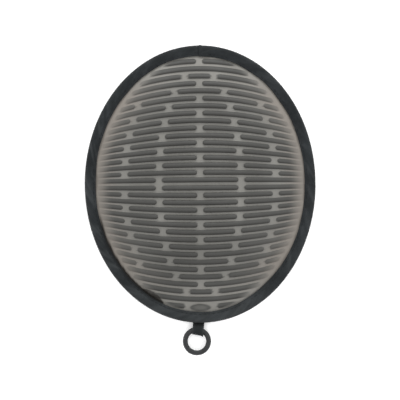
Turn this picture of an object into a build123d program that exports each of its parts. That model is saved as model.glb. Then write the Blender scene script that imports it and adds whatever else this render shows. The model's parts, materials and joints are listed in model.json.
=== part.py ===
from build123d import *
import os
from math import atan2, degrees, sqrt

# Oval pocket mitt: a ribbed silicone face over a padded hand pocket, with a hanging ring.
# Millimetres. The mitt lies on its back: z = 0 is the plane it rests on, +Z leaves the ribbed
# face, +Y runs to the finger end and the ring hangs off the -Y end. x = y = 0 is the oval's centre.

# Oval outline over the binding tape
OVAL_A = 105.4
OVAL_B = 127.0

# Levels through the edge of the mitt, from the table upwards
TAPE_T = 1.1
BINDING_Z0 = 2.0
FABRIC_T = 0.7
LAYER_GAP = 0.1
FOLD_Z0 = BINDING_Z0 + TAPE_T
POCKET_FLANGE_Z = FOLD_Z0 + LAYER_GAP
POCKET_LINING_Z = POCKET_FLANGE_Z + FABRIC_T + LAYER_GAP
LINING_Z = POCKET_LINING_Z + FABRIC_T + LAYER_GAP
FLANGE_T = 1.4
PAD_Z0 = LINING_Z + FABRIC_T + LAYER_GAP
PAD_Z1 = PAD_Z0 + FLANGE_T
FOLD_Z1 = PAD_Z1 + LAYER_GAP
BINDING_Z1 = FOLD_Z1 + TAPE_T

# Plan insets from the oval outline
TAPE_W = 9.6
SHEET_INSET = 2.6
SEAM_INSET = 7.8

# Silicone face
DOME_RISE = 25.0
PAD_T = 2.0
PAD_INNER_INSET = 11.4
RIB_H = 2.4
RIB_W = 4.8
RIB_END_GAP = 5.6
RIB_ROOT = 0.8
RIB_ENVELOPE_A = 95.5
RIB_ENVELOPE_B = 119.5
RIB_FIELD_A = 90.5
RIB_FIELD_B = 115.5
RIB_SHORTEST = 4.0
ROW_FIRST = 3.68
ROW_PITCH = 6.81
ROWS_PER_HALF = 17
ROW_CURVE_A = 150.0
PAIR_GAP_A = 69.1
PAIR_GAP_CURVE = 133.5
CENTRE_BAR_A = 35.1
CENTRE_BAR_CURVE = 104.2
BOSS_Y = -113.4
BOSS_A = 9.2
BOSS_B = 3.3
BOSS_H = 0.9
BOSS_BAR_X = 13.8

# Batting and lining under the face
BATTING_T = 6.5
BATTING_CLEAR = 0.2
BATTING_OUTER_INSET = 12.0
BATTING_INNER_INSET = 13.4
LINING_OUTER_INSET = 12.4
LINING_INNER_INSET = 14.4

# Hand pocket on the back: its mouth is a shallow scoop towards the fingers
MOUTH_Y = -36.0
MOUTH_R = 410.0
MOUTH_TAPE_W = 9.0
PAN_INSET = 10.2
PAN_EDGE_R = 1.2

# Sewing thread
STITCH_L = 3.0
STITCH_W = 0.6
STITCH_H = 0.3
EDGE_STITCHES = 164
MOUTH_STITCHES = 38
MOUTH_SEAM_INSET = 7.0
MOUTH_SEAM_REACH = 78.0
TACK_STITCHES = 9

# Webbing loop and ring, laid out along -Y and then turned by TAB_LEAN about the tab's root
TAB_X = -1.2
TAB_LEAN = -5.5
WEBBING_W = 10.4
WEBBING_T = 0.85
TAB_CLEAR = 0.3
TAIL_L = 11.0
RING_MID_R = 10.7
RING_WIRE_R = 2.25
RING_DROP = 17.8
EYE_DROP = 8.0
EYE_INNER_R = 3.45


def oval(inset=0.0):
    """Plan of the mitt, drawn in from its outline."""
    return Ellipse(OVAL_A - inset, OVAL_B - inset)


def slab(plan, z0, z1):
    """A plan area as a plate between two levels."""
    return Pos(0, 0, z0) * extrude(plan, z1 - z0)


def dome(half_width, half_length, base_z, top_z):
    """Cap of a spheroid about the Y direction, standing on an ellipse at base_z."""
    rise = top_z - base_z
    radius = (half_width**2 + rise**2) / (2 * rise)
    half_span = radius * half_length / half_width
    profile = Ellipse(radius, half_span) & Pos(radius, 0) * Rectangle(2 * radius, 2 * half_span)
    spheroid = Pos(0, 0, top_z - radius) * revolve(profile, Axis.Y)
    keep = Pos(0, 0, base_z) * Box(
        3 * half_width, 3 * half_length, 2 * rise, align=(Align.CENTER, Align.CENTER, Align.MIN)
    )
    return spheroid & keep


def inset_dome(inset, base_z, top_z):
    return dome(OVAL_A - inset, OVAL_B - inset, base_z, top_z)


# ---------------------------------------------------------------- silicone face

PAD_TOP = PAD_Z1 + DOME_RISE
PAD_UNDER = PAD_TOP - PAD_T
BATTING_TOP = PAD_UNDER - BATTING_CLEAR
LINING_TOP = BATTING_TOP - BATTING_T - LAYER_GAP


def row_height(row_y, x):
    """Where a rib row that crosses the mitt's long axis at row_y lies at x."""
    return row_y * sqrt(1 - (x / ROW_CURVE_A) ** 2)


def shrink(half_length, curve, row_y):
    return half_length * sqrt(max(0.0, 1 - (row_y / curve) ** 2))


def row_spans(index, row_y):
    """Start and end of each bar on the right half of a row; a start below zero crosses the middle."""
    end = shrink(RIB_FIELD_A, RIB_FIELD_B, row_y)
    half_gap = RIB_END_GAP / 2
    last = ROWS_PER_HALF - 1
    if index == last and row_y < 0:
        return [(BOSS_BAR_X, end)]
    if index == last - 1:
        return [(-end, end)]
    if index % 2 and index < last or index == last:
        gap_at = shrink(PAIR_GAP_A, PAIR_GAP_CURVE, row_y)
        if end - gap_at - half_gap < RIB_SHORTEST:
            return [(half_gap, end)]
        return [(half_gap, gap_at - half_gap), (gap_at + half_gap, end)]
    bar = shrink(CENTRE_BAR_A, CENTRE_BAR_CURVE, row_y)
    return [(-bar, bar), (bar + RIB_END_GAP, end)]


def bar_plan(row_y, start, end):
    """Round-ended bar along a row."""
    first = start + RIB_W / 2
    final = end - RIB_W / 2
    middle = (first + final) / 2
    points = [(x, row_height(row_y, x)) for x in (first, middle, final)]
    return SlotArc(ThreePointArc(*points), RIB_W)


def rib_plans():
    """Every bar of the rib field, as separate plan areas."""
    plans = []
    for side in (1, -1):
        for index in range(ROWS_PER_HALF):
            row_y = side * (ROW_FIRST + index * ROW_PITCH)
            for start, end in row_spans(index, row_y):
                bar = bar_plan(row_y, start, end)
                plans.append(bar)
                if start > 0:
                    plans.append(mirror(bar, Plane.YZ))
    return plans


def silicone_pad():
    """Domed face with its sewing flange, rib field and plain oval boss."""
    body = slab(oval(SHEET_INSET), PAD_Z0, PAD_Z1) + inset_dome(TAPE_W, PAD_Z1, PAD_TOP)
    boss_plan = Pos(0, BOSS_Y) * Ellipse(BOSS_A, BOSS_B) & oval(TAPE_W)
    boss_skin = inset_dome(TAPE_W, PAD_Z1 + BOSS_H, PAD_TOP + BOSS_H)
    body += slab(boss_plan, PAD_Z0, PAD_TOP) & (boss_skin + slab(oval(), PAD_Z0, PAD_Z1 + BOSS_H))
    body -= inset_dome(PAD_INNER_INSET, PAD_Z0, PAD_UNDER)
    base = inset_dome(TAPE_W, PAD_Z1, PAD_TOP - RIB_ROOT)
    skin = dome(RIB_ENVELOPE_A, RIB_ENVELOPE_B, PAD_Z1, PAD_TOP + RIB_H) - base
    ribs = [extrude(plan, PAD_TOP + 2 * RIB_H) & skin for plan in rib_plans()]
    return body.fuse(*ribs)


# ---------------------------------------------------------------- layers behind the face


def insulation_batting():
    """Thick heat-proof filling between the face and the lining."""
    outer = inset_dome(BATTING_OUTER_INSET, PAD_Z0, BATTING_TOP)
    return outer - inset_dome(BATTING_INNER_INSET, PAD_Z0, BATTING_TOP - BATTING_T)


def lining_panel():
    """Fabric that the palm rests against, sewn flat into the edge."""
    body = slab(oval(SHEET_INSET), LINING_Z, LINING_Z + FABRIC_T)
    body += inset_dome(LINING_OUTER_INSET, LINING_Z, LINING_TOP)
    return body - inset_dome(LINING_INNER_INSET, LINING_Z, LINING_TOP - FABRIC_T)


# ---------------------------------------------------------------- hand pocket


def pocket_plan(rim_inset, mouth_inset):
    """Finger end of the oval, cut off along the scooped mouth."""
    return oval(rim_inset) - Pos(0, MOUTH_Y + mouth_inset - MOUTH_R) * Circle(MOUTH_R)


def pocket_outer():
    """Back fabric: a shallow pan whose edge steps up into the binding and the mouth tape."""
    top = POCKET_FLANGE_Z + FABRIC_T
    mouth = MOUTH_TAPE_W + LAYER_GAP
    pan = fillet(
        slab(pocket_plan(PAN_INSET, mouth), 0, top).edges().group_by(Axis.Z)[0], PAN_EDGE_R
    )
    hollow = pocket_plan(PAN_INSET + FABRIC_T, mouth + FABRIC_T)
    flange = slab(pocket_plan(SHEET_INSET, FABRIC_T), POCKET_FLANGE_Z, top)
    return pan + flange - slab(hollow, FABRIC_T, top)


def pocket_batting():
    inset = 2 * LAYER_GAP + FABRIC_T
    plan = pocket_plan(PAN_INSET + inset, MOUTH_TAPE_W + inset)
    return slab(plan, FABRIC_T + LAYER_GAP, POCKET_LINING_Z - LAYER_GAP)


def pocket_lining():
    return slab(pocket_plan(SHEET_INSET, FABRIC_T), POCKET_LINING_Z, POCKET_LINING_Z + FABRIC_T)


def pocket_mouth_binding():
    """Tape folded over the mouth edge of the pocket, under the palm lining at its two ends."""
    strip = pocket_plan(PAN_INSET, -FABRIC_T) - pocket_plan(PAN_INSET - 1, MOUTH_TAPE_W)
    fold_top = POCKET_LINING_Z + FABRIC_T + LAYER_GAP
    tape = slab(strip, BINDING_Z0, fold_top + TAPE_T)
    tape -= slab(pocket_plan(0, FABRIC_T - LAYER_GAP), FOLD_Z0, fold_top)
    under_lining = inset_dome(LINING_INNER_INSET + 1, LINING_Z, LINING_TOP - 2 * FABRIC_T)
    return (tape & slab(oval(), 0, fold_top)) + (tape & under_lining)


# ---------------------------------------------------------------- edge binding and thread


def edge_binding():
    """Bias tape folded over the whole edge."""
    tape = slab(oval(), BINDING_Z0, BINDING_Z1)
    rims = tape.edges().group_by(Axis.Z)
    tape = fillet(rims[0] + rims[-1], (BINDING_Z1 - BINDING_Z0) * 0.46)
    tape -= slab(oval(TAPE_W), BINDING_Z0, BINDING_Z1)
    return tape - slab(oval(TAPE_T) - oval(TAPE_W + 1), FOLD_Z0, FOLD_Z1)


def stitches_along(path, count, z0):
    """Evenly spaced stitches lying along a plan curve."""
    stitch = Pos(0, 0, z0) * Box(
        STITCH_L, STITCH_W, STITCH_H, align=(Align.CENTER, Align.CENTER, Align.MIN)
    )
    made = []
    for i in range(count):
        at = path.position_at((i + 0.5) / count)
        way = path.tangent_at((i + 0.5) / count)
        made.append(Pos(at.X, at.Y) * Rot(0, 0, degrees(atan2(way.Y, way.X))) * stitch)
    return made


def binding_thread():
    """Seam round the binding, front and back; the back stitches stop at the hanging loop."""
    path = oval(SEAM_INSET).edge()
    front = stitches_along(path, EDGE_STITCHES, BINDING_Z1)
    back = stitches_along(path, EDGE_STITCHES, BINDING_Z0 - STITCH_H)
    loop = Pos(TAB_X, TAIL_L / 2 - OVAL_B) * Box(2 * WEBBING_W, 2 * TAIL_L, 2 * BINDING_Z1)
    free = [stitch for stitch in back if not loop.is_inside(stitch.center())]
    return Compound(children=front + free)


def pocket_mouth_thread():
    """Stitches through the mouth tape, on its inner and outer faces."""
    radius = MOUTH_R + MOUTH_SEAM_INSET
    centre_y = MOUTH_Y - MOUTH_R
    reach = (-MOUTH_SEAM_REACH, 0, MOUTH_SEAM_REACH)
    path = ThreePointArc(*[(x, centre_y + sqrt(radius**2 - x**2)) for x in reach])
    fold_top = POCKET_LINING_Z + FABRIC_T + LAYER_GAP
    inner = stitches_along(path, MOUTH_STITCHES, fold_top + TAPE_T)
    outer = stitches_along(path, MOUTH_STITCHES, BINDING_Z0 - STITCH_H)
    return Compound(children=inner + outer)


# ---------------------------------------------------------------- webbing loop and ring


def lean(shape):
    """Turns a piece laid out along -Y to the way the loop hangs."""
    return Pos(TAB_X, -OVAL_B) * Rot(0, 0, TAB_LEAN) * shape


def side_profile(sketch):
    """Plan drawn as (distance outward from the edge, height), swept across the webbing."""
    upright = Plane(origin=(WEBBING_W / 2, 0, 0), x_dir=(0, -1, 0), z_dir=(-1, 0, 0))
    return extrude(upright * sketch, WEBBING_W)


NECK_R = WEBBING_T
NECK_AT = TAB_CLEAR + NECK_R
NECK_Z = STITCH_H + NECK_R
EYE_OUTER_R = EYE_INNER_R + WEBBING_T


def hang_tab_sewn_end():
    """Two plies of webbing lying flat under the binding, where they are bar-tacked."""
    plan = Pos(-TAIL_L / 2, NECK_Z) * Rectangle(TAIL_L, 2 * NECK_R)
    return lean(side_profile(plan))


def hang_tab():
    """Free end of the webbing: a short neck that opens into an eye round the ring."""
    neck = Pos(NECK_AT, NECK_Z) * Circle(NECK_R)
    eye = Pos(EYE_DROP, EYE_OUTER_R) * Circle(EYE_OUTER_R)
    hole = Pos(EYE_DROP, EYE_OUTER_R) * Circle(EYE_INNER_R)
    parting = Pos(NECK_AT + 2 * NECK_R, NECK_Z + NECK_R / 4) * Circle(NECK_R / 8)
    band = make_hull(neck.edges() + eye.edges()) - make_hull(hole.edges() + parting.edges())
    return lean(side_profile(band))


def hanging_ring():
    return lean(Pos(0, -RING_DROP, EYE_OUTER_R) * Torus(RING_MID_R, RING_WIRE_R))


def tab_thread():
    """Bar tack across the sewn end, on the face that lies on the table."""
    stitch = Box(STITCH_W, STITCH_L, STITCH_H, align=(Align.CENTER, Align.CENTER, Align.MIN))
    step = (WEBBING_W - 2) / (TACK_STITCHES - 1)
    across = [(i - (TACK_STITCHES - 1) / 2) * step for i in range(TACK_STITCHES)]
    return lean(Compound(children=[Pos(x, TAIL_L * 0.4) * stitch for x in across]))


# ---------------------------------------------------------------- output

PIECES = {
    "silicone_pad": silicone_pad,
    "insulation_batting": insulation_batting,
    "lining_panel": lining_panel,
    "pocket_outer": pocket_outer,
    "pocket_batting": pocket_batting,
    "pocket_lining": pocket_lining,
    "pocket_mouth_binding": pocket_mouth_binding,
    "pocket_mouth_thread": pocket_mouth_thread,
    "edge_binding": edge_binding,
    "binding_thread": binding_thread,
    "hang_tab_sewn_end": hang_tab_sewn_end,
    "tab_thread": tab_thread,
    "hang_tab": hang_tab,
    "hanging_ring": hanging_ring,
}

os.makedirs("parts", exist_ok=True)
for name, make in PIECES.items():
    export_step(make(), f"parts/{name}.step")
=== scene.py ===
import json
import math

import bmesh
import bpy
import numpy as np
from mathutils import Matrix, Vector, noise


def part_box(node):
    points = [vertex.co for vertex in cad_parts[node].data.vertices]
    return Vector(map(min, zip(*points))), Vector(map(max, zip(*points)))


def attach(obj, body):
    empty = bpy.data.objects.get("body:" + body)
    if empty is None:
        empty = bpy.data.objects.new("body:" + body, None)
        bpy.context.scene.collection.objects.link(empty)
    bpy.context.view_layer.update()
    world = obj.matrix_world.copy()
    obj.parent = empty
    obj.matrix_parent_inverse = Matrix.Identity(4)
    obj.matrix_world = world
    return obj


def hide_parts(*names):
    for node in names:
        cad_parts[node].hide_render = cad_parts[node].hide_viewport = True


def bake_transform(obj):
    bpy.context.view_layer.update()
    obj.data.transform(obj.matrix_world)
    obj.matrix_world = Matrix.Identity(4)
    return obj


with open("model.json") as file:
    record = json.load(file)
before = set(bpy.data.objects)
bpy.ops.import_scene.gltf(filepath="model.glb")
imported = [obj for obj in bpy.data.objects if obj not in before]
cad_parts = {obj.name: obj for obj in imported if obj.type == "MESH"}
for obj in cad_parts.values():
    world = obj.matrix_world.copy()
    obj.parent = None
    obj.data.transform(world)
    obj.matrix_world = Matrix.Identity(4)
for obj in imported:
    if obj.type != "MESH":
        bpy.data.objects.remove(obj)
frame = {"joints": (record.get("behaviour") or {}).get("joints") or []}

# Looks of an oval pocket mitt: ribbed silicone face, taped edge, quilted hand pocket, ring on a loop.
# Everything is in metres in the part's own frame: back on z = 0, face towards +Z, ring at -Y.

MM = 0.001
TAU = 2 * math.pi

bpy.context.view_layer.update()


# ---------- sizes from the frame

binding_low, binding_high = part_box("edge_binding")
_, pad_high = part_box("silicone_pad")
batting_low, batting_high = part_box("insulation_batting")
lining_low, lining_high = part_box("lining_panel")
pocket_lining_low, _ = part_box("pocket_lining")
ring_low, ring_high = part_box("hanging_ring")

OVAL_A = binding_high.x
OVAL_B = binding_high.y
BINDING_Z0 = binding_low.z
BINDING_Z1 = binding_high.z
TAPE_T = 0.9 * MM
TAPE_W = 9.6 * MM
TAPE_REACH = 10.0 * MM
SEAM_INSET = 7.8 * MM
RIB_H = 2.4 * MM
PAD_TOP = pad_high.z - RIB_H
TAPE_ROOM = 1.2 * MM
FLANGE_TOP = BINDING_Z1 - TAPE_ROOM
FLANGE_INSET = 2.7 * MM

joints = {joint["name"]: joint for joint in frame["joints"]}
LOOP_HINGE = Vector(joints["loop_flex"]["pos_m"])
RING_HINGE = Vector(joints["ring_swing"]["pos_m"])
HINGE_WAY = -Vector(joints["ring_swing"]["axis"])
HANG_WAY = Vector((HINGE_WAY.y, -HINGE_WAY.x, 0.0))
WEBBING_W = 10.4 * MM
WEBBING_T = 0.8 * MM


# ---------- mesh helpers


def make_object(name, points, faces, uv=None, material=None):
    """Mesh object from an array of points and a list of faces; uv has one pair per point."""
    mesh = bpy.data.meshes.new(name)
    mesh.from_pydata([tuple(p) for p in points], [], faces)
    mesh.update()
    editor = bmesh.new()
    editor.from_mesh(mesh)
    bmesh.ops.recalc_face_normals(editor, faces=editor.faces)
    editor.to_mesh(mesh)
    editor.free()
    mesh.polygons.foreach_set("use_smooth", [True] * len(mesh.polygons))
    if uv is not None:
        corners = np.zeros(len(mesh.loops), np.int32)
        mesh.loops.foreach_get("vertex_index", corners)
        layer = mesh.uv_layers.new(name="UVMap")
        pairs = np.asarray(uv, np.float32).reshape(-1, 2)
        layer.data.foreach_set("uv", pairs[corners].ravel())
    if material is not None:
        mesh.materials.append(material)
    obj = bpy.data.objects.new(name, mesh)
    bpy.context.scene.collection.objects.link(obj)
    return obj


def grid_faces(rows, columns, wrap_rows=False, wrap_columns=False, first=0):
    """Quads over a rows x columns block of points that starts at index first."""
    faces = []
    for i in range(rows if wrap_rows else rows - 1):
        here, after = first + i * columns, first + (i + 1) % rows * columns
        for j in range(columns if wrap_columns else columns - 1):
            k = (j + 1) % columns
            faces.append((here + j, here + k, after + k, after + j))
    return faces


def tube_faces(rows, columns, first=0):
    """Quads of a tube of rows rings, with a face over each end."""
    last = first + (rows - 1) * columns
    ends = [tuple(range(first, first + columns)), tuple(range(last, last + columns))]
    return grid_faces(rows, columns, wrap_columns=True, first=first) + ends


def grid_rim(rows, columns):
    """Indices of the border points of a rows x columns block, in order round it."""
    rim = list(range(columns)) + [i * columns + columns - 1 for i in range(1, rows)]
    rim += [(rows - 1) * columns + j for j in range(columns - 2, -1, -1)]
    return rim + [i * columns for i in range(rows - 2, 0, -1)]


def flatten(x, y, z):
    """One row of three per point, from numbers and arrays that fit one shape."""
    return np.stack([np.ravel(part) for part in np.broadcast_arrays(x, y, z)], -1)


def set_attribute(obj, name, values):
    """One number per point, which a material reads by name."""
    attribute = obj.data.attributes.new(name, "FLOAT", "POINT")
    attribute.data.foreach_set("value", np.ravel(values).astype(np.float32))


def follow(line):
    """Unit directions along a plane line of points, and the length so far at each."""
    way = np.gradient(line, axis=0)
    way /= np.linalg.norm(way, axis=1)[:, None]
    return way, np.concatenate([[0], np.cumsum(np.hypot(*np.diff(line, axis=0).T))])


def smooth_step(low, high, value):
    """0 up to low and 1 from high on, with an even ramp between."""
    t = np.clip((value - low) / (high - low), 0.0, 1.0)
    return t * t * (3 - 2 * t)


def bell(offset, spread):
    """1 where offset is zero, falling to about a third at spread."""
    return np.exp(-((offset / spread) ** 2))


def soft_max(a, b, width):
    """Larger of a and b with a rounded hand-over."""
    h = np.clip(0.5 + 0.5 * (a - b) / width, 0.0, 1.0)
    return b + (a - b) * h + width * h * (1 - h)


def even_angles(half_width, half_length, count):
    """Ellipse angles at equal steps along its edge, from +X anticlockwise, and its girth."""
    pieces = 7200
    fine = np.linspace(0, TAU, pieces + 1)
    step = np.hypot(half_width * np.sin(fine), half_length * np.cos(fine))
    travelled = np.concatenate([[0], np.cumsum((step[1:] + step[:-1]) / 2)])
    wanted = np.arange(count) / count * travelled[-1]
    return np.interp(wanted, travelled, fine), travelled[-1] * TAU / pieces


def wave_noise(seed, x, y, scale):
    """Smooth noise in about -1..1 over arrays of positions in metres."""
    gain = 1.6
    flat = zip(np.ravel(x), np.ravel(y))
    values = [noise.noise(Vector((a / scale, b / scale, seed))) for a, b in flat]
    return np.array(values).reshape(np.shape(x)) * gain


# ---------- material helpers


class Shader:
    """A Principled material whose nodes are added by short calls."""

    def __init__(self, name):
        self.material = bpy.data.materials.new(name)
        self.material.use_nodes = True
        self.tree = self.material.node_tree
        self.principled = self.tree.nodes["Principled BSDF"]

    def node(self, kind, **settings):
        made = self.tree.nodes.new(kind)
        for key, value in settings.items():
            setattr(made, key, value)
        return made

    def put(self, socket, value):
        if isinstance(value, bpy.types.NodeSocket):
            self.tree.links.new(value, socket)
        else:
            socket.default_value = value

    def math(self, operation, first, second=0.0, third=0.0):
        made = self.node("ShaderNodeMath", operation=operation)
        for socket, value in zip(made.inputs, (first, second, third)):
            self.put(socket, value)
        return made.outputs[0]

    def mix(self, factor, first, second):
        made = self.node("ShaderNodeMix", data_type="RGBA")
        self.put(made.inputs[0], factor)
        self.put(made.inputs[6], first)
        self.put(made.inputs[7], second)
        return made.outputs[2]

    def span(self, value, low, high, to_low=0.0, to_high=1.0):
        made = self.node("ShaderNodeMapRange", interpolation_type="SMOOTHSTEP")
        for socket, number in zip(made.inputs, (value, low, high, to_low, to_high)):
            self.put(socket, number)
        return made.outputs[0]

    def noise(self, scale, detail=3.0, roughness=0.55):
        place = self.node("ShaderNodeTexCoord")
        made = self.node("ShaderNodeTexNoise")
        self.put(made.inputs["Vector"], place.outputs["Object"])
        self.put(made.inputs["Scale"], scale)
        self.put(made.inputs["Detail"], detail)
        self.put(made.inputs["Roughness"], roughness)
        return made.outputs["Fac"]

    def attribute(self, name):
        return self.node("ShaderNodeAttribute", attribute_name=name).outputs["Fac"]

    def uv(self):
        """The mesh's own (along, across) coordinates, in metres."""
        split = self.node("ShaderNodeSeparateXYZ")
        self.put(split.inputs[0], self.node("ShaderNodeUVMap", uv_map="UVMap").outputs[0])
        return split.outputs[0], split.outputs[1]

    def bump(self, height, distance, strength):
        made = self.node("ShaderNodeBump")
        self.put(made.inputs["Height"], height)
        self.put(made.inputs["Distance"], distance)
        self.put(made.inputs["Strength"], strength)
        self.put(self.principled.inputs["Normal"], made.outputs[0])

    def finish(self, colour, roughness, **constants):
        self.put(self.principled.inputs["Base Color"], colour)
        self.put(self.principled.inputs["Roughness"], roughness)
        for name, value in constants.items():
            self.principled.inputs[name.replace("_", " ")].default_value = value
        return self.material


def rgb(red, green, blue):
    """Linear colour from 0-255 display values."""

    def linear(value):
        value /= 255
        return value / 12.92 if value <= 0.04045 else ((value + 0.055) / 1.055) ** 2.4

    return (linear(red), linear(green), linear(blue), 1.0)


def silicone_material():
    """Smoky silicone: thick ribs are darker than the thin skin between them, the rim is warmer."""
    s = Shader("smoky_silicone")
    mottled = s.noise(26.0, 4.0)
    fine = s.noise(900.0, 2.0)
    skin = s.mix(s.span(mottled, 0.3, 0.7), rgb(103, 102, 98), rgb(113, 112, 108))
    skin = s.mix(s.attribute("edge"), skin, rgb(112, 107, 101))
    rib = s.mix(s.span(mottled, 0.25, 0.75), rgb(54, 54, 52), rgb(62, 62, 60))
    # Painted shade: each rib's lower flank is darker, as the side turned away from the top light.
    rib = s.mix(s.attribute("flank_shade"), rib, rgb(38, 37, 35))
    colour = s.mix(s.attribute("rib"), skin, rib)
    # Painted shade: the lens-shaped sliver, the gap under the loose tape and a band in from the sides.
    colour = s.mix(s.attribute("painted_crease_shade"), colour, rgb(31, 29, 26))
    s.bump(s.math("ADD", s.math("MULTIPLY", fine, 0.4), mottled), 0.00006, 0.5)
    roughness = s.span(fine, 0.2, 0.8, 0.46, 0.58)
    return s.finish(colour, roughness, IOR=1.41, Specular_IOR_Level=0.35)


def woven(name, dark, light, yarn, twill=True, sheen=0.06):
    """Woven cloth: yarns over and under in the mesh's own coordinates, lightened by wear and painted
    highlights and darkened by painted shade, by point.
    """
    s = Shader(name)
    along, across = s.uv()
    turns = TAU / yarn
    if twill:
        diagonal = s.math("ADD", along, across)
        first = s.math("SINE", s.math("MULTIPLY", diagonal, turns / 2))
    else:
        first = s.math("SINE", s.math("MULTIPLY", along, turns))
    second = s.math("SINE", s.math("MULTIPLY", across, turns))
    weave = s.span(s.math("MULTIPLY_ADD", first, 0.6, s.math("MULTIPLY", second, 0.4)), -1.0, 1.0)
    patchy = s.noise(60.0, 4.0)
    fuzz = s.noise(2600.0, 2.0)
    tone = s.math("ADD", s.math("MULTIPLY", weave, 0.35), s.math("MULTIPLY", patchy, 0.65))
    colour = s.mix(s.span(tone, 0.34, 0.66), dark, light)
    # Lighter where worn, and where the edge tape carries painted highlights.
    colour = s.mix(s.math("MULTIPLY", s.attribute("wear_and_highlight"), 0.35), colour, rgb(94, 97, 98))
    colour = s.mix(s.attribute("shade"), colour, rgb(16, 18, 19))
    s.bump(s.math("ADD", weave, s.math("MULTIPLY", fuzz, 0.35)), 0.00012, 0.8)
    roughness = s.span(patchy, 0.2, 0.8, 0.8, 0.94)
    return s.finish(
        colour, roughness, Sheen_Weight=sheen, Sheen_Roughness=0.5, Specular_IOR_Level=0.1
    )


def thread_material():
    s = Shader("polyester_thread")
    along, across = s.uv()
    twist = s.math("SINE", s.math("MULTIPLY", s.math("ADD", along, across), TAU / (0.5 * MM)))
    colour = s.mix(s.span(twist, -1.0, 1.0), rgb(15, 17, 18), rgb(27, 30, 32))
    s.bump(twist, 0.00005, 0.7)
    roughness = s.span(twist, -1.0, 1.0, 0.85, 0.7)
    return s.finish(colour, roughness, Sheen_Weight=0.03, Specular_IOR_Level=0.1)


def plastic_material():
    """Semi-matt moulded plastic with faint flow marks and scuffs."""
    s = Shader("ring_plastic")
    flow = s.noise(180.0, 4.0)
    grain = s.noise(3200.0, 2.0)
    colour = s.mix(s.span(flow, 0.3, 0.7), rgb(24, 26, 27), rgb(33, 35, 36))
    s.bump(s.math("ADD", flow, s.math("MULTIPLY", grain, 0.4)), 0.00004, 0.5)
    return s.finish(colour, s.span(grain, 0.25, 0.75, 0.42, 0.54), Specular_IOR_Level=0.3)


def batting_material():
    s = Shader("needled_batting")
    clumps = s.noise(220.0, 6.0, 0.7)
    fibres = s.noise(2400.0, 3.0, 0.7)
    colour = s.mix(s.span(clumps, 0.3, 0.7), rgb(196, 192, 184), rgb(222, 219, 212))
    s.bump(s.math("ADD", clumps, fibres), 0.0003, 0.8)
    return s.finish(colour, s.span(fibres, 0.3, 0.7, 0.9, 1.0), Sheen_Weight=0.3)


# ---------- silicone face

DOME_A = OVAL_A - TAPE_W
DOME_B = OVAL_B - TAPE_W
ENVELOPE_A = 95.5 * MM
ENVELOPE_B = 119.5 * MM

ROW_FIRST = 3.68 * MM
ROW_PITCH = 6.81 * MM
ROWS_PER_HALF = 17
ROW_CURVE = 150 * MM
RIB_R = 2.45 * MM
RIB_GAP = 5.0 * MM
PAIR_GAP_A, PAIR_GAP_CURVE = 69.5 * MM, 133.5 * MM
CENTRE_BAR_A, CENTRE_BAR_CURVE = 35.3 * MM, 104.2 * MM
FIELD_A, FIELD_B = 97.0 * MM, 119.5 * MM
BOSS_X, BOSS_Y, BOSS_H = 0.3 * MM, -113.6 * MM, 0.9 * MM
BOSS_A, BOSS_B = 10.6 * MM, 3.5 * MM
BOSS_BAR_X = 14.8 * MM
FACE_TILT = 0.0085
FACE_DROP = 0.25 * MM
SLIVER_ANGLE, SLIVER_SPREAD, SLIVER_DEPTH = math.radians(242.5), 0.12, 0.040
LOOSE_START, LOOSE_END, LOOSE_RAMP = math.radians(192), math.radians(252), math.radians(9)
RIB_FADE, END_RIB_FADE = 16 * MM, 7 * MM
CORNER_PALING = 0.18
# Strength of the painted shade in from the sides and in the corners.
SIDE_SHADE, CORNER_SHADE = 0.15, 0.16


def dome_cap(x, y, half_width, half_length, base, top):
    """Height of a spheroid cap that stands on an ellipse at base."""
    rise = top - base
    radius = (half_width**2 + rise**2) / (2 * rise)
    half_span = radius * half_length / half_width
    inside = np.clip(1 - (x / radius) ** 2 - (y / half_span) ** 2, 0.0, 1.0)
    return top - radius + radius * np.sqrt(inside)


def shrink(half_length, curve, row_y):
    """Half-length that closes in like an ellipse as the row nears +-curve."""
    return half_length * math.sqrt(max(0.0, 1 - (row_y / curve) ** 2))


def loose_arc(angle):
    """Share of looseness of the tape's front edge: it stands off the face at the lower left."""
    rise = smooth_step(LOOSE_START, LOOSE_START + LOOSE_RAMP, angle)
    return rise * (1 - smooth_step(LOOSE_END - LOOSE_RAMP, LOOSE_END, angle))


def row_spans(index, row_y):
    """Start and end of each bar on the right half of a row; a start below zero crosses the middle."""
    end = shrink(FIELD_A, FIELD_B, row_y)
    half_gap = RIB_GAP / 2
    last = ROWS_PER_HALF - 1
    if index == last and row_y < 0:
        return [(BOSS_BAR_X, end)]
    if index == last - 1:
        return [(-end, end)]
    if index % 2 or index == last:
        gap_at = shrink(PAIR_GAP_A, PAIR_GAP_CURVE, row_y)
        if end - gap_at < 2.5 * RIB_GAP:
            return [(half_gap, end)]
        return [(half_gap, gap_at - half_gap), (gap_at + half_gap, end)]
    bar = shrink(CENTRE_BAR_A, CENTRE_BAR_CURVE, row_y)
    return [(-bar, bar), (bar + RIB_GAP, end)]


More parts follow.
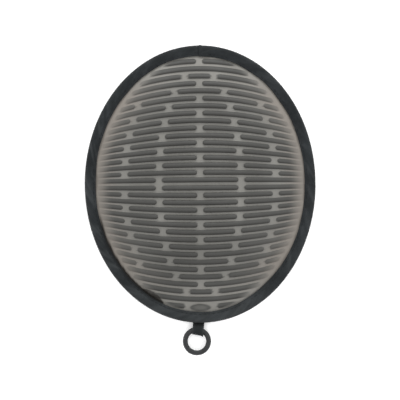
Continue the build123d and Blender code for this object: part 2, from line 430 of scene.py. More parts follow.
def rib_profile(x, row):
    """Share of full rib height at plan position x, row coordinate row (the y it has at x = 0).

    With it comes the flank shade: 0 on a rib's upper side to 1 on its lower side, where the rib gets
    painted shade."""
    shape, flank_shade = np.zeros_like(x), np.zeros_like(x)
    squeeze = np.sqrt(1 - (x / ROW_CURVE) ** 2)
    side = np.where(row >= 0, 1, -1)
    index = np.clip(np.round((np.abs(row) - ROW_FIRST) / ROW_PITCH), 0, ROWS_PER_HALF - 1)
    for sign in (1, -1):
        for k in range(ROWS_PER_HALF):
            chosen = (side == sign) & (index == k)
            row_y = sign * (ROW_FIRST + k * ROW_PITCH)
            across = (row - row_y) * squeeze
            width = RIB_R * (0.35 + 0.65 * squeeze)
            flank_shade = np.where(chosen, smooth_step(-0.2, 1.0, -across / width), flank_shade)
            for start, end in row_spans(k, row_y):
                reach = np.abs(x) if start > 0 else x
                beyond = np.maximum(np.maximum(start + width - reach, reach - end + width), 0)
                q = np.clip(np.hypot(beyond, across) / width, 0, 1)
                shape = np.where(chosen, np.maximum(shape, (1 - q**2.6) ** 0.62), shape)
    return shape, flank_shade


def row_columns(row, limit):
    """x positions along one line of the face: dense where bars end, sparse between."""
    width = min(1.0, limit / (60 * MM))
    bar = min(max(shrink(CENTRE_BAR_A, CENTRE_BAR_CURVE, row), 0.2 * limit), 0.36 * limit)
    gap = min(max(shrink(PAIR_GAP_A, PAIR_GAP_CURVE, row), 0.55 * limit), 0.72 * limit)
    ends = np.array([0, 0.2, 0.6, 1.2, 2.42]) * MM * width
    half = RIB_GAP / 2 * width
    centre = np.concatenate([[0, half * 0.5], half - 0.2 * MM * width + ends])
    first = np.concatenate([bar - ends[::-1], [bar + half], bar + 2 * half + ends])
    second = np.concatenate([gap - half - ends[::-1], [gap], gap + half + ends])
    x = list(centre)
    for block in (first, second):
        x += list(np.linspace(x[-1], block[0], 6)[1:-1]) + list(block)
    outward = np.linspace(0, 1, 16)[1:] ** 0.85
    x += list(x[-1] + (limit - x[-1]) * outward)
    return np.array(x)


def rim_crossing(row):
    """x where the line of a row meets the hidden outer edge of the flange, by bisection."""
    half_width, half_length = OVAL_A - FLANGE_INSET, OVAL_B - FLANGE_INSET
    low, high = 0.0, half_width
    for _ in range(40):
        x = (low + high) / 2
        y = abs(row) * math.sqrt(1 - (x / ROW_CURVE) ** 2)
        inside = (x / half_width) ** 2 + (y / half_length) ** 2 < 1
        low, high = (x, high) if inside else (low, x)
    return low


def face_rows():
    """Row coordinates of the face's lines: several across each rib and one between ribs."""
    across = np.array([-2.6, -2.38, -2.1, -1.6, -0.9, 0, 0.9, 1.6, 2.1, 2.38, 2.6]) * MM
    rows = [0.0]
    for k in range(ROWS_PER_HALF):
        row_y = ROW_FIRST + k * ROW_PITCH
        rows += list(row_y + across) + [row_y + ROW_PITCH / 2]
    rows += list(np.linspace(rows[-1], OVAL_B - FLANGE_INSET, 8)[1:-1])
    return np.array([-r for r in rows[:0:-1]] + rows)


def face_tones(y, ratio, reach):
    """Paling of the ribs towards the tape, and side shade: a slight painted darkening further in, along
    the sides and in the corners.

    ratio is 1 at the tape, and reach is the distance to it along a row."""
    up = np.abs(y)
    fade = RIB_FADE - (RIB_FADE - END_RIB_FADE) * smooth_step(95 * MM, 112 * MM, up)
    away = smooth_step(25 * MM, 55 * MM, up)
    corner = away * (1 - smooth_step(80 * MM, 100 * MM, up))
    paling = smooth_step(-0.1 * fade, 0.9 * fade, reach)
    paling *= 1 - CORNER_PALING * corner * (1 - smooth_step(12 * MM, 50 * MM, reach))
    # painted shade: a band in from the tape along the sides and at the corners
    painted_side_shade = smooth_step((4 + 6 * away) * MM, (18 + 8 * away) * MM, reach)
    painted_side_shade *= np.maximum(1 - smooth_step(30 * MM, 65 * MM, reach), away)
    painted_side_shade *= SIDE_SHADE * (1 - away) + CORNER_SHADE * corner
    edge = smooth_step(0.72, 0.97, ratio) * (1 - 0.85 * smooth_step(0.6, 0.92, up / DOME_B))
    return paling, painted_side_shade, edge


def face_height(x, y, along_row, row):
    """Top surface of the face at plan points, with the shares that its material uses.

    along_row and row are the same points in the coordinates of the rib rows."""
    dome = dome_cap(x, y, DOME_A, DOME_B, FLANGE_TOP, PAD_TOP)
    envelope = dome_cap(x, y, ENVELOPE_A, ENVELOPE_B, FLANGE_TOP, PAD_TOP + RIB_H)
    ratio = np.hypot(x / DOME_A, y / DOME_B)
    angle = np.arctan2(y / DOME_B, x / DOME_A) % TAU
    reach = DOME_A * np.sqrt(np.clip(1 - (y / DOME_B) ** 2, 0, 1)) - np.abs(x)
    paling, painted_side_shade, edge = face_tones(y, ratio, reach)
    # The lens-shaped sliver at the lower left, and the dark gap under the loose tape: both painted shade
    # on the face.
    lens = np.clip(1 - ((angle - SLIVER_ANGLE) / SLIVER_SPREAD) ** 2, 0, 1)
    lens_edge = 0.996 - SLIVER_DEPTH * lens
    sliver = smooth_step(lens_edge - 0.004, lens_edge + 0.004, ratio) * (lens > 0)
    shadow = smooth_step(0.982, 0.990, ratio) * loose_arc(angle)
    # painted shade over the sliver, a little darker towards its outer edge
    sliver_shade = sliver * (0.86 + 0.14 * smooth_step(0.985, 0.989, ratio))
    base = soft_max(dome, np.full_like(dome, FLANGE_TOP), 0.5 * MM)
    base -= (sliver * 0.35 + shadow * 0.1) * MM
    bars, flank_shade = rib_profile(along_row, row)
    depth = np.maximum(envelope - dome, 1.0 * MM) * bars * smooth_step(0, 10 * MM, reach)
    boss_ratio = np.hypot((x - BOSS_X) / BOSS_A, (y - BOSS_Y) / BOSS_B)
    boss = 1 - smooth_step(0.8, 1.0, boss_ratio)
    boss_tone = boss * (0.72 + 0.23 * smooth_step(0.3, 0.8, boss_ratio))
    shares = {
        "rib": np.maximum(smooth_step(0, 0.5, bars) * paling, boss_tone),
        # painted shade on the ribs' lower flanks, and a little over the boss
        "flank_shade": np.maximum(flank_shade * (1 - boss), 0.3 * boss),
        "edge": edge,
        "painted_crease_shade": np.maximum.reduce([sliver_shade, shadow * 0.95, painted_side_shade]),
    }
    return base + depth + BOSS_H * boss, shares


def silicone_face():
    """The moulded face, on lines of points that follow the curved, slightly turned rows of ribs."""
    rows = face_rows()
    half = np.array([row_columns(row, rim_crossing(row)) for row in rows])
    along = np.concatenate([-half[:, :0:-1], half], 1)
    row = rows[:, None] + 0 * along
    droop = 0.4 * MM * np.clip(np.abs(along) / (45 * MM), 0, 1.3) ** 2 * smooth_step(0, 40 * MM, row)
    x = along - FACE_TILT * row
    y = row * np.sqrt(1 - (along / ROW_CURVE) ** 2) + FACE_TILT * along - FACE_DROP - droop
    z, shares = face_height(x, y, along, row)
    points = flatten(x, y, z)
    rim = grid_rim(*x.shape)
    under = [points]
    # The underside: rings that shrink towards a middle point.
    scales = (1.0, 0.9, 0.75, 0.5, 0.25)
    for scale in scales:
        ring = points[rim] * (scale, scale, 0)
        low = dome_cap(ring[:, 0], ring[:, 1], DOME_A, DOME_B, FLANGE_TOP, PAD_TOP) - 2 * MM
        ring[:, 2] = soft_max(low, np.full_like(low, FLANGE_TOP - 1.4 * MM), 0.8 * MM)
        under.append(ring)
    under.append(np.array([[0, 0, PAD_TOP - 2 * MM]]))
    faces = grid_faces(*x.shape)
    size = len(rim)
    middle = len(points) + len(scales) * size
    outer = rim
    for start in range(len(points), middle, size):
        inner = range(start, start + size)
        faces += [(outer[k], outer[k - 1], inner[k - 1], inner[k]) for k in range(size)]
        outer = inner
    faces += [(outer[k], outer[k - 1], middle) for k in range(size)]
    points = np.concatenate(under)
    hidden = np.zeros(len(points) - x.size)
    face = make_object("ribbed_face", points, faces, material=silicone_material())
    for name, share in shares.items():
        set_attribute(face, name, np.concatenate([share.ravel(), hidden]))
    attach(face, "mitt")
    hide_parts("silicone_pad")


# ---------- edge binding

RIM_STEPS = 780
JOIN_X = -1.6 * MM
JOIN_LAP = 11 * MM
JOIN_NUB = 1.1 * MM
RIM_PROUD, TOP_TUCK = 0.62 * MM, 0.6 * MM
BULGE, BULGE_ANGLE, BULGE_SPREAD = 0.55 * MM, math.radians(312), math.radians(36)
SWAY_ANGLE, SWAY_SPREAD = math.radians(306), 0.24


def tape_section(front, back, low, high):
    """Middle line of a folded tape as (inset, height): front leaf, round the edge, back leaf."""
    roll = (high - low - TAPE_T) / 2
    middle = (high + low) / 2
    turn = TAPE_T / 2 + roll
    line = [(inset, middle + roll) for inset in np.linspace(front, turn + 0.6 * MM, 7)]
    for angle in np.linspace(90, -90, 13):
        around = math.radians(angle)
        line.append((turn - roll * math.cos(around), middle + roll * math.sin(around)))
    line += [(inset, middle - roll) for inset in np.linspace(turn + 0.6 * MM, back, 7)]
    return np.array(line)


def section_loop(line, thickness):
    """Closed outline of a sheet of that thickness about its middle line, and the lengths along it."""
    way, lengths = follow(line)
    normal = np.stack([-way[:, 1], way[:, 0]], -1)
    outline = np.concatenate([line + normal * thickness / 2, (line - normal * thickness / 2)[::-1]])
    return outline, np.concatenate([lengths, lengths[::-1]])


def from_top(angle):
    """Distance along the tape from the top of the oval, clockwise, for places near it."""
    return (math.pi / 2 - angle) * OVAL_A


def join_step(angle):
    """1 just right of the tape's join, where the closing end laps over, 0 left of it."""
    offset = from_top(angle)
    step = smooth_step(JOIN_X - 0.2 * MM, JOIN_X + 0.2 * MM, offset)
    return step * (1 - smooth_step(JOIN_LAP * 0.7, JOIN_LAP, offset))


def rim_place(angle, inset):
    """Plan point that far in from the tape's fold; the filled edge stands out a little all round.

    It stands out most at the lower right and not at all at the top."""
    proud = RIM_PROUD - TOP_TUCK * np.clip(np.sin(angle), 0, 1) ** 3
    reach = proud + BULGE * bell(angle - BULGE_ANGLE, BULGE_SPREAD) - inset
    return (OVAL_A + reach) * np.cos(angle), (OVAL_B + reach) * np.sin(angle)


def tape_lift(angle, along, inset):
    """How far the front leaf of the edge tape stands above its flat level."""
    side = np.abs(np.cos(angle)) ** 3
    inward = np.clip(inset / TAPE_REACH, 0, 1)
    pucker = wave_noise(3.1, along + inset * 1.8, inset * 0.5, 0.011)
    crinkle = wave_noise(8.4, along - inset, inset * 0.4, 0.0042)
    lift = (0.42 * pucker * (0.35 + side) + 0.12 * crinkle) * MM
    lift += 0.3 * MM * np.sin(math.pi * inward) + 0.25 * MM * inward**2
    lift += loose_arc(angle) * inward**3 * 1.1 * MM
    lift += join_step(angle) * 0.7 * MM
    lift -= 0.25 * MM * bell(inset - SEAM_INSET, 0.7 * MM)
    return lift


def tape_tones(angle, along, inset, front):
    """Painted shade and painted light of the edge tape: dark join line, painted shade in the outer fold,
    at the cut edge and in the seam, painted light and shade on the puckers, painted shade at the top and
    painted light at the bottom.
    """
    join = 0.85 * bell(from_top(angle) - JOIN_X + 0.35 * MM, 0.5 * MM) * front
    # Painted shade in the rolled outer fold.
    fold = 0.45 * bell(inset, 0.7 * MM)
    # Painted shade at the cut inner edge, strongest where the tape stands off the face.
    cut = smooth_step(TAPE_REACH - 2.2 * MM, TAPE_REACH - 0.6 * MM, inset)
    cut *= 0.3 + 0.6 * loose_arc(angle)
    # Painted shade in the seam's groove.
    seam = 0.25 * bell(inset - SEAM_INSET, 0.5 * MM)
    puckers = 0.8 * wave_noise(6.6, along - inset * 1.6, inset * 0.45, 0.0085)
    puckers += 0.5 * wave_noise(8.8, along - inset * 2.2, inset * 0.35, 0.0045)
    puckers *= 1 - 0.55 * smooth_step(-0.9, -0.45, np.cos(angle))
    # Painted shade on the puckers and along the top of the oval.
    dark = 0.52 * np.clip(puckers, 0, 1) + 0.22 * smooth_step(0.6, 0.95, np.sin(angle))
    # Painted light on the puckers and along the bottom of the oval.
    painted_light = 0.55 * np.clip(-puckers, 0, 1) + 0.25 * smooth_step(0.72, 0.93, -np.sin(angle))
    shade = np.maximum.reduce([join, fold, cut, seam, dark * front])
    return np.clip(shade, 0, 1), painted_light * front


def edge_binding():
    """Bias tape folded over the oval's edge, with the puckers that sewing it on a curve leaves."""
    line = tape_section(TAPE_REACH, TAPE_W - 0.1 * MM, BINDING_Z0, BINDING_Z1)
    outline, flat = section_loop(line, TAPE_T)
    angles, girth = even_angles(OVAL_A, OVAL_B, RIM_STEPS)
    angle = angles[:, None] + 0 * outline[:, 0]
    along = (np.arange(RIM_STEPS) / RIM_STEPS * girth)[:, None] + 0 * angle
    inset = outline[:, 0] + 0 * angle
    z = outline[:, 1] + 0 * angle
    front = smooth_step(BINDING_Z0 + 3.2 * MM, BINDING_Z1 - 1.0 * MM, z)
    lift = tape_lift(angle, along, inset)
    back = np.clip(-0.25 * lift, -0.2 * MM, 0.1 * MM)
    inward = np.clip(inset / TAPE_REACH, 0, 1)
    sway = 0.3 * MM * wave_noise(5.5, along, 0 * along, 0.02)
    sway = (sway + 0.9 * MM * bell(angle - SWAY_ANGLE, SWAY_SPREAD)) * inward * front
    lap = join_step(angle) * front
    nub = JOIN_NUB * bell(from_top(angle) - JOIN_X - 1.2 * MM, 2.2 * MM)
    inset = inset + sway + lap * 0.3 * MM * inward**2 - lap * nub * (1 - inward)
    z = z + front * lift + (1 - front) * back * smooth_step(3 * MM, 5 * MM, inset)
    x, y = rim_place(angle, inset)
    uv = np.stack([along, flat + 0 * along], -1)
    faces = grid_faces(*x.shape, wrap_rows=True, wrap_columns=True)
    points = flatten(x, y, z)
    binding = make_object("edge_binding_tape", points, faces, uv, TAPE)
    # painted shade and painted light of the tape
    shade, painted_light = tape_tones(angle, along, inset, front)
    set_attribute(binding, "shade", shade)
    set_attribute(binding, "wear_and_highlight", painted_light)
    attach(binding, "mitt")
    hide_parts("edge_binding")


# ---------- ring and webbing loop

TAB_ROOT = LOOP_HINGE - HANG_WAY * 1.15 * MM
EYE_DROP = (RING_HINGE - TAB_ROOT).dot(HANG_WAY)
EYE_Z = RING_HINGE.z
EYE_R = EYE_Z - WEBBING_T / 2
TACK_BACK = 5.0 * MM
GATE_ANGLE = 4.1


def hanging_ring():
    """Moulded ring: round wire with a fine parting line round its middle and a gate mark."""
    centre = (ring_low + ring_high) / 2
    wire = (ring_high.z - ring_low.z) / 2
    middle = (ring_high.y - ring_low.y) / 2 - wire
    turns, sides = 144, 40
    a = TAU * np.arange(turns)[:, None] / turns
    b = TAU * np.arange(sides) / sides
    gate = 0.25 * MM * bell(a - GATE_ANGLE, 0.07) * (np.cos(b) > 0.8)
    radius = wire - 0.05 * MM + 0.12 * MM * bell(np.sin(b), 0.10) + gate
    flat = middle + radius * np.cos(b)
    x, y = centre.x + flat * np.cos(a), centre.y + flat * np.sin(a)
    points = flatten(x, y, centre.z + radius * np.sin(b))
    uv = np.stack([a * middle + 0 * x, b * wire + 0 * x], -1)
    faces = grid_faces(turns, sides, wrap_rows=True, wrap_columns=True)
    ring = make_object("moulded_ring", points, faces, uv, plastic_material())
    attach(ring, "ring")
    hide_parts("hanging_ring")


def loop_path():
    """Middle line of the webbing in (outward distance, height): under the edge, round the ring, back."""
    low = 0.72 * MM
    high = low + WEBBING_T + 0.06 * MM
    path = [(d * MM, low) for d in (-11, -9, -7, -5, -3, -1, 0.5, 2.0)]
    for angle in np.linspace(-108, 122, 27):
        a = math.radians(angle)
        path.append((EYE_DROP + EYE_R * math.cos(a), EYE_Z + EYE_R * math.sin(a)))
    path += [(3.3 * MM, 5.1 * MM), (2.2 * MM, 3.2 * MM), (1.2 * MM, 2.0 * MM)]
    path += [(d * MM, high) for d in (0.2, -1, -3, -5, -7, -9, -11)]
    return np.array(path)


def hang_loop():
    """Flat webbing, rounded at its edges, with one pulled corner where it turns in the ring."""
    path = loop_path()
    for _ in range(2):
        path[1:-1] = path[1:-1] * 0.5 + (path[:-2] + path[2:]) * 0.25
    way, lengths = follow(path)
    across = np.linspace(-1, 1, 13)
    outline = [(u, 1) for u in across] + [(u, -1) for u in across[::-1]]
    points, uv, wear_and_highlight = [], [], []
    for (d, z), (wd, wz), length in zip(path, way, lengths):
        outer_end = smooth_step(EYE_DROP + 1.5 * MM, EYE_DROP + EYE_R, d)
        for u, face in outline:
            thick = WEBBING_T / 2 * (1 - 0.55 * abs(u) ** 8)
            ripple = 0.05 * MM * noise.noise(Vector((length / 0.004, u * 2, 1.3)))
            bow = -0.12 * MM * u * u
            shift = thick * face + ripple + bow
            pulled = outer_end * (0.45 * u + 0.9 * max(0.0, (u - 0.55) / 0.45) ** 2) * MM
            place = TAB_ROOT + HANG_WAY * float(d - wz * shift + pulled)
            place = place + HINGE_WAY * float(u * WEBBING_W / 2)
            points.append((place.x, place.y, z + wd * shift))
            uv.append((length, u * WEBBING_W / 2))
            wear_and_highlight.append(abs(u) ** 6 * 0.5)
    faces = tube_faces(len(path), len(outline))
    loop = make_object("webbing_loop", points, faces, uv, WEBBING)
    set_attribute(loop, "wear_and_highlight", wear_and_highlight)
    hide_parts("hang_tab", "hang_tab_sewn_end")
    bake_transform(loop)


# ---------- layers behind the face

FABRIC_T = 0.7 * MM
SHEET_INSET = 2.6 * MM
LAYER_GAP = 0.1 * MM
POCKET_FLANGE_Z = BINDING_Z0 + TAPE_ROOM
POCKET_LINING_Z = pocket_lining_low.z
LINING_Z = lining_low.z
LINING_TOP = lining_high.z
BATTING_INSET, BATTING_HOLLOW_INSET, LINING_HOLLOW_INSET = 12 * MM, 13.4 * MM, 14.4 * MM


def closed_layer(name, x, y, low, high, wrap, material):
    """Layer between two heightfields over the same rows x columns of plan points."""
    rows, columns = x.shape
    count = rows * columns
    points = np.concatenate([flatten(x, y, high), flatten(x, y, low)])
    faces = grid_faces(rows, columns, wrap_columns=wrap)
    faces += grid_faces(rows, columns, wrap_columns=wrap, first=count)
    if wrap:
        rim = list(range(columns))
        faces += [tuple(range(end - columns, end)) for end in (count, 2 * count)]
    else:
        rim = grid_rim(rows, columns)
    for j, here in enumerate(rim):
        following = rim[(j + 1) % len(rim)]
        faces.append((here, following, following + count, here + count))
    return make_object(name, points, faces, points[:, :2], material)


def oval_rings(inset, steps, shares):
    """Plan points of rings that shrink towards the centre."""
    half_width, half_length = OVAL_A - inset, OVAL_B - inset
    angles, _ = even_angles(half_width, half_length, steps)
    shares = np.asarray(shares)[:, None]
    return shares * half_width * np.cos(angles), shares * half_length * np.sin(angles)


def inset_cap(x, y, inset, base, top):
    """Cap over the oval that lies that far inside the mitt's outline."""
    return dome_cap(x, y, OVAL_A - inset, OVAL_B - inset, base, top)


def face_batting():
    """Needled filling, a little lumpy, packed between the face and the palm lining."""
    base = batting_low.z
    shares = np.concatenate([[1, 0.992], np.linspace(0.98, 0.01, 34)])
    x, y = oval_rings(BATTING_INSET + LAYER_GAP, 180, shares)
    outer = inset_cap(x, y, BATTING_INSET, base, batting_high.z)
    inner = inset_cap(x, y, BATTING_HOLLOW_INSET, base, LINING_TOP + LAYER_GAP)
    lumps = 0.25 * MM * (wave_noise(2.2, x, y, 0.017) + 0.6 * wave_noise(6.1, x, y, 0.006))
    outer = outer - 0.35 * MM + np.clip(lumps, -0.3 * MM, 0.3 * MM)
    inner = np.maximum(inner, base)
    outer = np.maximum(outer, base + LAYER_GAP)
    batting = closed_layer("face_batting", x, y, inner, outer, True, batting_material())
    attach(batting, "mitt")
    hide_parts("insulation_batting")


def lining_inside(x, y):
    """Level of the palm lining's hand side, before its wrinkles."""
    hollow = inset_cap(x, y, LINING_HOLLOW_INSET, LINING_Z, LINING_TOP - FABRIC_T)
    return np.maximum(hollow, LINING_Z)


def palm_lining():
    """Plain-weave lining, sewn flat into the edge and wrinkled where it follows the hollow."""
    shares = np.concatenate([[1, 0.97, 0.94, 0.915, 0.90, 0.885], np.linspace(0.865, 0.01, 64)])
    x, y = oval_rings(SHEET_INSET, 300, shares)
    inside = lining_inside(x, y)
    hollow = smooth_step(0, 3 * MM, inside - LINING_Z)
    angle = np.arctan2(y, x)
    radius = np.hypot(x, y)
    girth = OVAL_A * np.sin(angle) + OVAL_B * (1 - np.cos(angle))
    eased = np.exp(-np.clip(rim_distance(x, y) - 16 * MM, 0, None) / (22 * MM))
    gathers = wave_noise(1.7, radius * 0.2, girth, 0.008) * eased
    slack = 0.5 + 0.5 * wave_noise(4.4, x, y, 0.038) + 0.22 * wave_noise(7.3, x * 0.5, y, 0.012)
    low = inside - hollow * (np.clip(slack, 0, 1.3) * 1.0 + np.clip(0.5 + gathers, 0, 1.5) * 0.8) * MM
    lining = closed_layer("palm_lining", x, y, low, low + 0.6 * MM, True, LINING)
    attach(lining, "mitt")
    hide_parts("lining_panel")


# ---------- hand pocket

MOUTH_Y = -36.0 * MM
MOUTH_R = 410.0 * MM
MOUTH_TAPE_W = 9.0 * MM
MOUTH_TAPE_Z1 = POCKET_LINING_Z + FABRIC_T + LAYER_GAP + 1.1 * MM
MOUTH_SEAM = 7.0 * MM
MOUTH_INSET = 0.7 * MM
QUILT_STEP = 30.0 * MM
CHANNEL_Z = 1.9 * MM
LATTICE = 8
PUFF_FRAMES = 20


def mouth_distance(x, y):
    """Distance from the mouth's edge into the pocket."""
    return np.hypot(x, y - MOUTH_Y + MOUTH_R) - MOUTH_R


def mouth_line(x, inset):
    """y of the arc that lies that far into the pocket from the mouth's edge."""
    return MOUTH_Y - MOUTH_R + np.sqrt((MOUTH_R + inset) ** 2 - x**2)


def rim_distance(x, y):
    """Near the edge, the distance in from the oval's outline."""
    ratio = np.hypot(x / OVAL_A, y / OVAL_B)
    return (1 - ratio) * np.hypot(x, y) / np.maximum(ratio, 1e-6)


def pocket_points(columns, rows):
    """Plan points over the finger end, from the mouth to the rim."""
    half_width, half_length = OVAL_A - SHEET_INSET, OVAL_B - SHEET_INSET
    x = 0.9995 * half_width * np.sin(np.linspace(-math.pi / 2, math.pi / 2, columns))
    rim = half_length * np.sqrt(1 - (x / half_width) ** 2)
    start = np.maximum(mouth_line(x, MOUTH_INSET), -rim)
    share = np.linspace(0, 1, rows)
    share = share - 0.04 * np.sin(TAU * share)
    y = start + (rim - start) * share[:, None]
    return x + 0 * y, y


def quilt_axes(x, y):
    """Coordinates across the two families of quilting lines; the same sum turns them back."""
    return (x + y) / math.sqrt(2), (x - y) / math.sqrt(2)


def well_inside(x, y, rim, mouth):
    """0 to 1 over a range of distances in from the rim, times the same for the mouth."""
    return smooth_step(*rim, rim_distance(x, y)) * smooth_step(*mouth, mouth_distance(x, y))


def channel_distance(x, y):
    """Distance to the nearest quilting line."""
    away = [np.abs((axis + QUILT_STEP / 2) % QUILT_STEP - QUILT_STEP / 2) for axis in quilt_axes(x, y)]
    return np.minimum(*away)


def puffed_lattice():
    """Puff of the quilted cloth on a lattice along the quilting lines, as a share of the fullest.

    The cloth is held along every quilting line and at the edge of the pocket, and pressed out."""
    step = QUILT_STEP / LATTICE
    ticks = np.arange(-4 * LATTICE, 5 * LATTICE + 1)
    u, v = np.meshgrid(ticks * step, ticks * step, indexing="ij")
    x, y = quilt_axes(u, v)
    outside = (rim_distance(x, y) < 11.5 * MM) | (mouth_distance(x, y) < 10.5 * MM)
    on_line = (ticks[:, None] % LATTICE == 0) | (ticks % LATTICE == 0)
    held = outside | on_line
    rough = 0.15 * MM * wave_noise(7.7, x, y, 0.013) * ~held
    cloth = make_object("quilt_cloth", flatten(x, y, -np.abs(rough)), grid_faces(*x.shape))
    if cloth.data.polygons[0].normal.z > 0:
        cloth.data.flip_normals()
    group = cloth.vertex_groups.new(name="held")
    group.add(np.flatnonzero(held).tolist(), 1.0, "REPLACE")
    modifier = cloth.modifiers.new("cloth", "CLOTH")
    settings = modifier.settings
    settings.quality = 6
    settings.mass = 0.15
    settings.tension_stiffness = settings.compression_stiffness = 12
    settings.shear_stiffness = 6
    settings.bending_stiffness = 0.3
    settings.vertex_group_mass = "held"
    settings.use_pressure = True
    settings.uniform_pressure_force = 4.0
    settings.effector_weights.gravity = 0.0
    modifier.point_cache.frame_start = 1
    modifier.point_cache.frame_end = PUFF_FRAMES
    scene = bpy.context.scene
    for frame_number in range(1, PUFF_FRAMES + 1):
        scene.frame_set(frame_number)
    shaped = cloth.evaluated_get(bpy.context.evaluated_depsgraph_get())
    places = np.zeros(3 * len(cloth.data.vertices), np.float32)
    shaped.to_mesh().vertices.foreach_get("co", places)
    scene.frame_set(1)
    bpy.data.objects.remove(cloth)
    pushed = -places.reshape(-1, 3)[:, 2].reshape(x.shape)
    return ticks * step, np.clip(pushed / np.percentile(pushed[~held], 85), 0, 1.25)


def sample_lattice(ticks, values, x, y):
    """Smoothly interpolated lattice values at plan points."""
    u, v = quilt_axes(x, y)
    step = ticks[1] - ticks[0]
    row = np.clip((u - ticks[0]) / step, 0, len(ticks) - 1.001)
    column = np.clip((v - ticks[0]) / step, 0, len(ticks) - 1.001)
    i, j = row.astype(int), column.astype(int)
    a, b = row - i, column - j
    lower = values[i, j] * (1 - b) + values[i, j + 1] * b
    upper = values[i + 1, j] * (1 - b) + values[i + 1, j + 1] * b
    return lower * (1 - a) + upper * a


def quilt_level(x, y, ticks, puff):
    """Height of the pocket's outer face: puffed diamonds that lie flat where they touch the table."""
    shoulder = well_inside(x, y, (9.2 * MM, 15 * MM), (8.6 * MM, 14 * MM))
    away = channel_distance(x, y)
    full = sample_lattice(ticks, puff, x, y)
    pull = wave_noise(9.3, x * 2.2, y * 2.2, 0.009) * np.exp(-away / (4 * MM))
    level = CHANNEL_Z - 2.3 * MM * full + 0.16 * MM * pull
    level = level + 0.35 * MM * bell(away, 0.8 * MM)
    level = np.maximum(level, 0.04 * MM)
    return POCKET_FLANGE_Z * (1 - shoulder) + level * shoulder


def quilted_pocket(ticks, puff):
    x, y = pocket_points(150, 118)
    low = quilt_level(x, y, ticks, puff)
    high = np.full_like(low, POCKET_FLANGE_Z + FABRIC_T)
    low = np.minimum(low, high - 0.3 * MM)
    pocket = closed_layer("quilted_pocket", x, y, low, high, False, QUILT)
    shade = bell(channel_distance(x, y), 0.9 * MM) * 0.45
    set_attribute(pocket, "shade", [0 * shade, shade])
    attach(pocket, "mitt")
    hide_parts("pocket_outer", "pocket_batting")


def pocket_lining():
    x, y = pocket_points(110, 84)
    free = well_inside(x, y, (12 * MM, 24 * MM), (11 * MM, 20 * MM))
    slack = 0.5 + 0.5 * wave_noise(3.6, x, y * 0.7, 0.03) + 0.25 * wave_noise(5.1, x, y, 0.011)
    low = POCKET_LINING_Z + free * np.clip(slack, 0, 1.2) * 0.9 * MM
    lining = closed_layer("pocket_lining_cloth", x, y, low, low + FABRIC_T, False, LINING)
    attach(lining, "mitt")
    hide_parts("pocket_lining")


def mouth_rise(x, inset):
    """How far the mouth tape stands off its flat level."""
    wave = wave_noise(2.9, x + inset, inset * 0.6, 0.012)
    return 0.16 * MM * wave - 0.2 * MM * bell(inset - MOUTH_SEAM, 0.7 * MM)


def mouth_tape():
    """Bias tape folded over the scooped mouth; its ends run under the edge tape."""
    line = tape_section(MOUTH_TAPE_W, MOUTH_TAPE_W, BINDING_Z0, MOUTH_TAPE_Z1)
    outline, flat = section_loop(line, TAPE_T)
    depth, level = outline[:, 0] - MOUTH_INSET, outline[:, 1]
    middle = (BINDING_Z0 + MOUTH_TAPE_Z1) / 2
    x = np.linspace(-1, 1, 190)[:, None] * np.where(level > middle, 83.0 * MM, 87.0 * MM)
    y = mouth_line(x, depth)
    inset = depth + 0 * x
    z = level + np.sign(level - middle) * np.clip(mouth_rise(x, inset), -0.3 * MM, 0.15 * MM)
    z = np.minimum(z, np.maximum(lining_inside(x, y) - 1.1 * MM, POCKET_LINING_Z + 0.75 * MM))
    uv = np.stack([x, flat + 0 * x], -1)
    tape = make_object("mouth_tape", flatten(x, y, z), tube_faces(*x.shape), uv, TAPE)
    seam = 0.25 * bell(inset - MOUTH_SEAM, 0.5 * MM)
    cut = 0.4 * smooth_step(MOUTH_TAPE_W - 1.4 * MM, MOUTH_TAPE_W - 0.9 * MM, inset)
    set_attribute(tape, "shade", np.maximum(seam, cut))
    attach(tape, "mitt")
    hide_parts("pocket_mouth_binding")


# ---------- sewing thread


def stitches(name, centres, ways, sides, length=3.0 * MM):
    """Short arched stitches: centres on the cloth, plan directions, and +1 up or -1 down.

    The points have three axes: the stitch, the stop along it and the angle round it."""
    radius = 0.2 * MM
    stops = np.array([-1, -0.82, -0.45, 0, 0.45, 0.82, 1])[:, None]
    angle = TAU * np.arange(8) / 8
    thick = radius * (1 - 0.45 * np.abs(stops) ** 5)
    rise = 0.8 * radius - 1.4 * radius * np.abs(stops) ** 4
    ways = np.array(ways, float)
    ways /= np.linalg.norm(ways, axis=1)[:, None]
    way_x, way_y = ways.T[:, :, None, None]
    middle_x, middle_y, level = np.transpose(centres)[:, :, None, None]
    along, aside = stops * length / 2, thick * np.cos(angle)
    x = middle_x + way_x * along - way_y * aside
    y = middle_y + way_y * along + way_x * aside
    z = level + np.reshape(sides, (-1, 1, 1)) * (rise + thick * np.sin(angle))
    faces = []
    for i in range(len(centres)):
        faces += tube_faces(len(stops), len(angle), first=i * aside.size)
    uv = np.stack([along + 0 * x, angle * radius + 0 * x], -1)
    thread = make_object(name, flatten(x, y, z), faces, uv, THREAD)
    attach(thread, "mitt")
    return thread


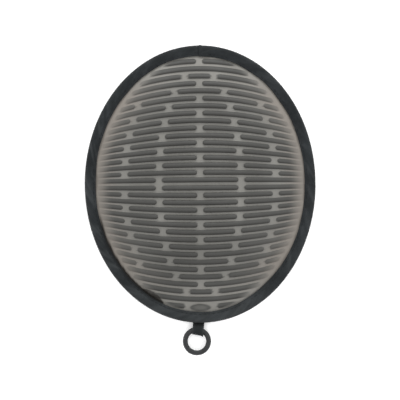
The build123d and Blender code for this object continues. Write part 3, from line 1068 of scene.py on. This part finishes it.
def edge_stitches():
    """Seam round the edge tape, front and back; the back one stops at the loop's sewn end."""
    count = 164
    half_width, half_length = OVAL_A - SEAM_INSET, OVAL_B - SEAM_INSET
    angles, _ = even_angles(half_width, half_length, count)
    x, y = rim_place(angles, SEAM_INSET)
    way = np.stack([-half_width * np.sin(angles), half_length * np.cos(angles)], -1)
    _, outer_girth = even_angles(OVAL_A, OVAL_B, 8)
    along = angles * outer_girth / TAU
    lift = tape_lift(angles, along, np.full_like(angles, SEAM_INSET))
    front = flatten(x, y, BINDING_Z1 + lift - 0.1 * MM)
    back = flatten(x, y, BINDING_Z0)
    free = (np.abs(x - TAB_ROOT.x) > WEBBING_W) | (y > 0)
    centres = np.concatenate([front, back[free]])
    sides = [1] * count + [-1] * int(free.sum())
    thread = stitches("edge_stitches", centres, np.concatenate([way, way[free]]), sides)
    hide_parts("binding_thread")


def mouth_stitches():
    """Seam of the mouth tape, on its inner and its outer leaf."""
    x = np.linspace(-77, 77, 38) * MM
    y = mouth_line(x, MOUTH_SEAM)
    way = np.stack([np.full_like(x, 1.0), -x / (MOUTH_R + MOUTH_SEAM)], -1)
    centres = [flatten(x, y, MOUTH_TAPE_Z1 - 0.3 * MM), flatten(x, y, BINDING_Z0 + 0.2 * MM)]
    sides = [1] * len(x) + [-1] * len(x)
    thread = stitches("mouth_stitches", np.concatenate(centres), np.concatenate([way, way]), sides)
    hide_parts("pocket_mouth_thread")


def tack_stitches():
    """Bar tack across the sewn end of the loop."""
    steps = np.linspace(-1, 1, 12) * (WEBBING_W / 2 - 0.9 * MM)
    places = [TAB_ROOT - HANG_WAY * TACK_BACK + HINGE_WAY * float(step) for step in steps]
    centres = [(place.x, place.y, 0.32 * MM) for place in places]
    thread = stitches("tack_stitches", centres, [(HANG_WAY.x, HANG_WAY.y)], -1)
    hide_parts("tab_thread")


def quilt_stitches(ticks, puff):
    """Running stitch along the quilting lines on the outer face of the pocket."""
    centres, ways = [], []
    for turn in (1, -1):
        for line in np.arange(-4, 6) * QUILT_STEP:
            for place in np.arange(-130, 150, 4.2) * MM:
                x, y = quilt_axes(line, place)
                y *= turn
                if rim_distance(x, y) > 13 * MM and mouth_distance(x, y) > 12.5 * MM:
                    centres.append((x, y))
                    ways.append((1, -turn))
    centres = np.array(centres)
    level = quilt_level(centres[:, 0], centres[:, 1], ticks, puff)
    centres = np.concatenate([centres, level[:, None]], 1)
    stitches("quilt_stitches", centres, ways, -1, length=2.7 * MM)


# ---------- stage, light and camera


def stage():
    """White floor just under the mitt; it glows slightly, to stay white beside it."""
    half, level = 3.0, -0.6 * MM
    corners = [(-half, -half, level), (half, -half, level), (half, half, level), (-half, half, level)]
    s = Shader("pale_floor")
    grain = s.noise(4.0, 2.0)
    white = s.mix(s.span(grain, 0.3, 0.7), (0.985, 0.985, 0.985, 1), (0.995, 0.995, 0.995, 1))
    paint = s.finish(white, 0.9, Emission_Strength=0.14)
    floor = make_object("studio_floor", corners, [(0, 1, 2, 3)], material=paint)


def area_light(name, place, size, power):
    """Soft light of that size in metres and power in watts, turned to the mitt's centre."""
    light = bpy.data.lights.new(name, "AREA")
    light.shape = "RECTANGLE"
    light.size, light.size_y = size
    light.energy = power
    obj = bpy.data.objects.new(name, light)
    obj.location = place
    obj.rotation_euler = (-Vector(place)).to_track_quat("-Z", "Y").to_euler()
    bpy.context.scene.collection.objects.link(obj)


def lights():
    """A low softbox beyond the top of the mitt, three weak fills and an even white sky."""
    area_light("top_softbox", (0.0, 1.6, 0.72), (2.0, 0.7), 23)
    area_light("left_fill", (-1.3, 0.1, 1.0), (0.9, 1.2), 4)
    area_light("right_fill", (1.3, 0.1, 1.0), (0.9, 1.2), 6.5)
    area_light("near_fill", (0.0, -1.3, 1.2), (1.4, 0.7), 4)
    world = bpy.data.worlds.new("studio_world")
    world.use_nodes = True
    background = world.node_tree.nodes["Background"]
    background.inputs["Color"].default_value = (1.0, 1.0, 1.0, 1.0)
    background.inputs["Strength"].default_value = 1.2
    bpy.context.scene.world = world
    bpy.context.scene.view_settings.view_transform = "Standard"


def camera():
    """Straight down on the ribbed face, with the ring at the bottom of the picture."""
    height = 6.0
    seen_width = 0.3672
    data = bpy.data.cameras.new("camera")
    data.sensor_width = 36.0
    data.lens = data.sensor_width * (height - BINDING_Z1) / seen_width
    obj = bpy.data.objects.new("camera", data)
    obj.location = (-0.0001, -0.015, height)
    bpy.context.scene.collection.objects.link(obj)
    bpy.context.scene.camera = obj


camera()
stage()
lights()

TAPE = woven("binding_twill", rgb(15, 18, 19), rgb(43, 46, 48), 0.55 * MM)
WEBBING = woven("loop_webbing", rgb(16, 18, 19), rgb(36, 39, 40), 0.8 * MM, twill=False, sheen=0.05)
QUILT = woven("pocket_twill", rgb(36, 39, 41), rgb(52, 56, 58), 0.7 * MM)
LINING = woven("lining_plain_weave", rgb(44, 46, 48), rgb(62, 65, 67), 0.6 * MM, twill=False)
THREAD = thread_material()

silicone_face()
edge_binding()
hanging_ring()
hang_loop()
face_batting()
palm_lining()
quilt_ticks, quilt_puff = puffed_lattice()
quilted_pocket(quilt_ticks, quilt_puff)
pocket_lining()
mouth_tape()
edge_stitches()
mouth_stitches()
tack_stitches()
quilt_stitches(quilt_ticks, quilt_puff)
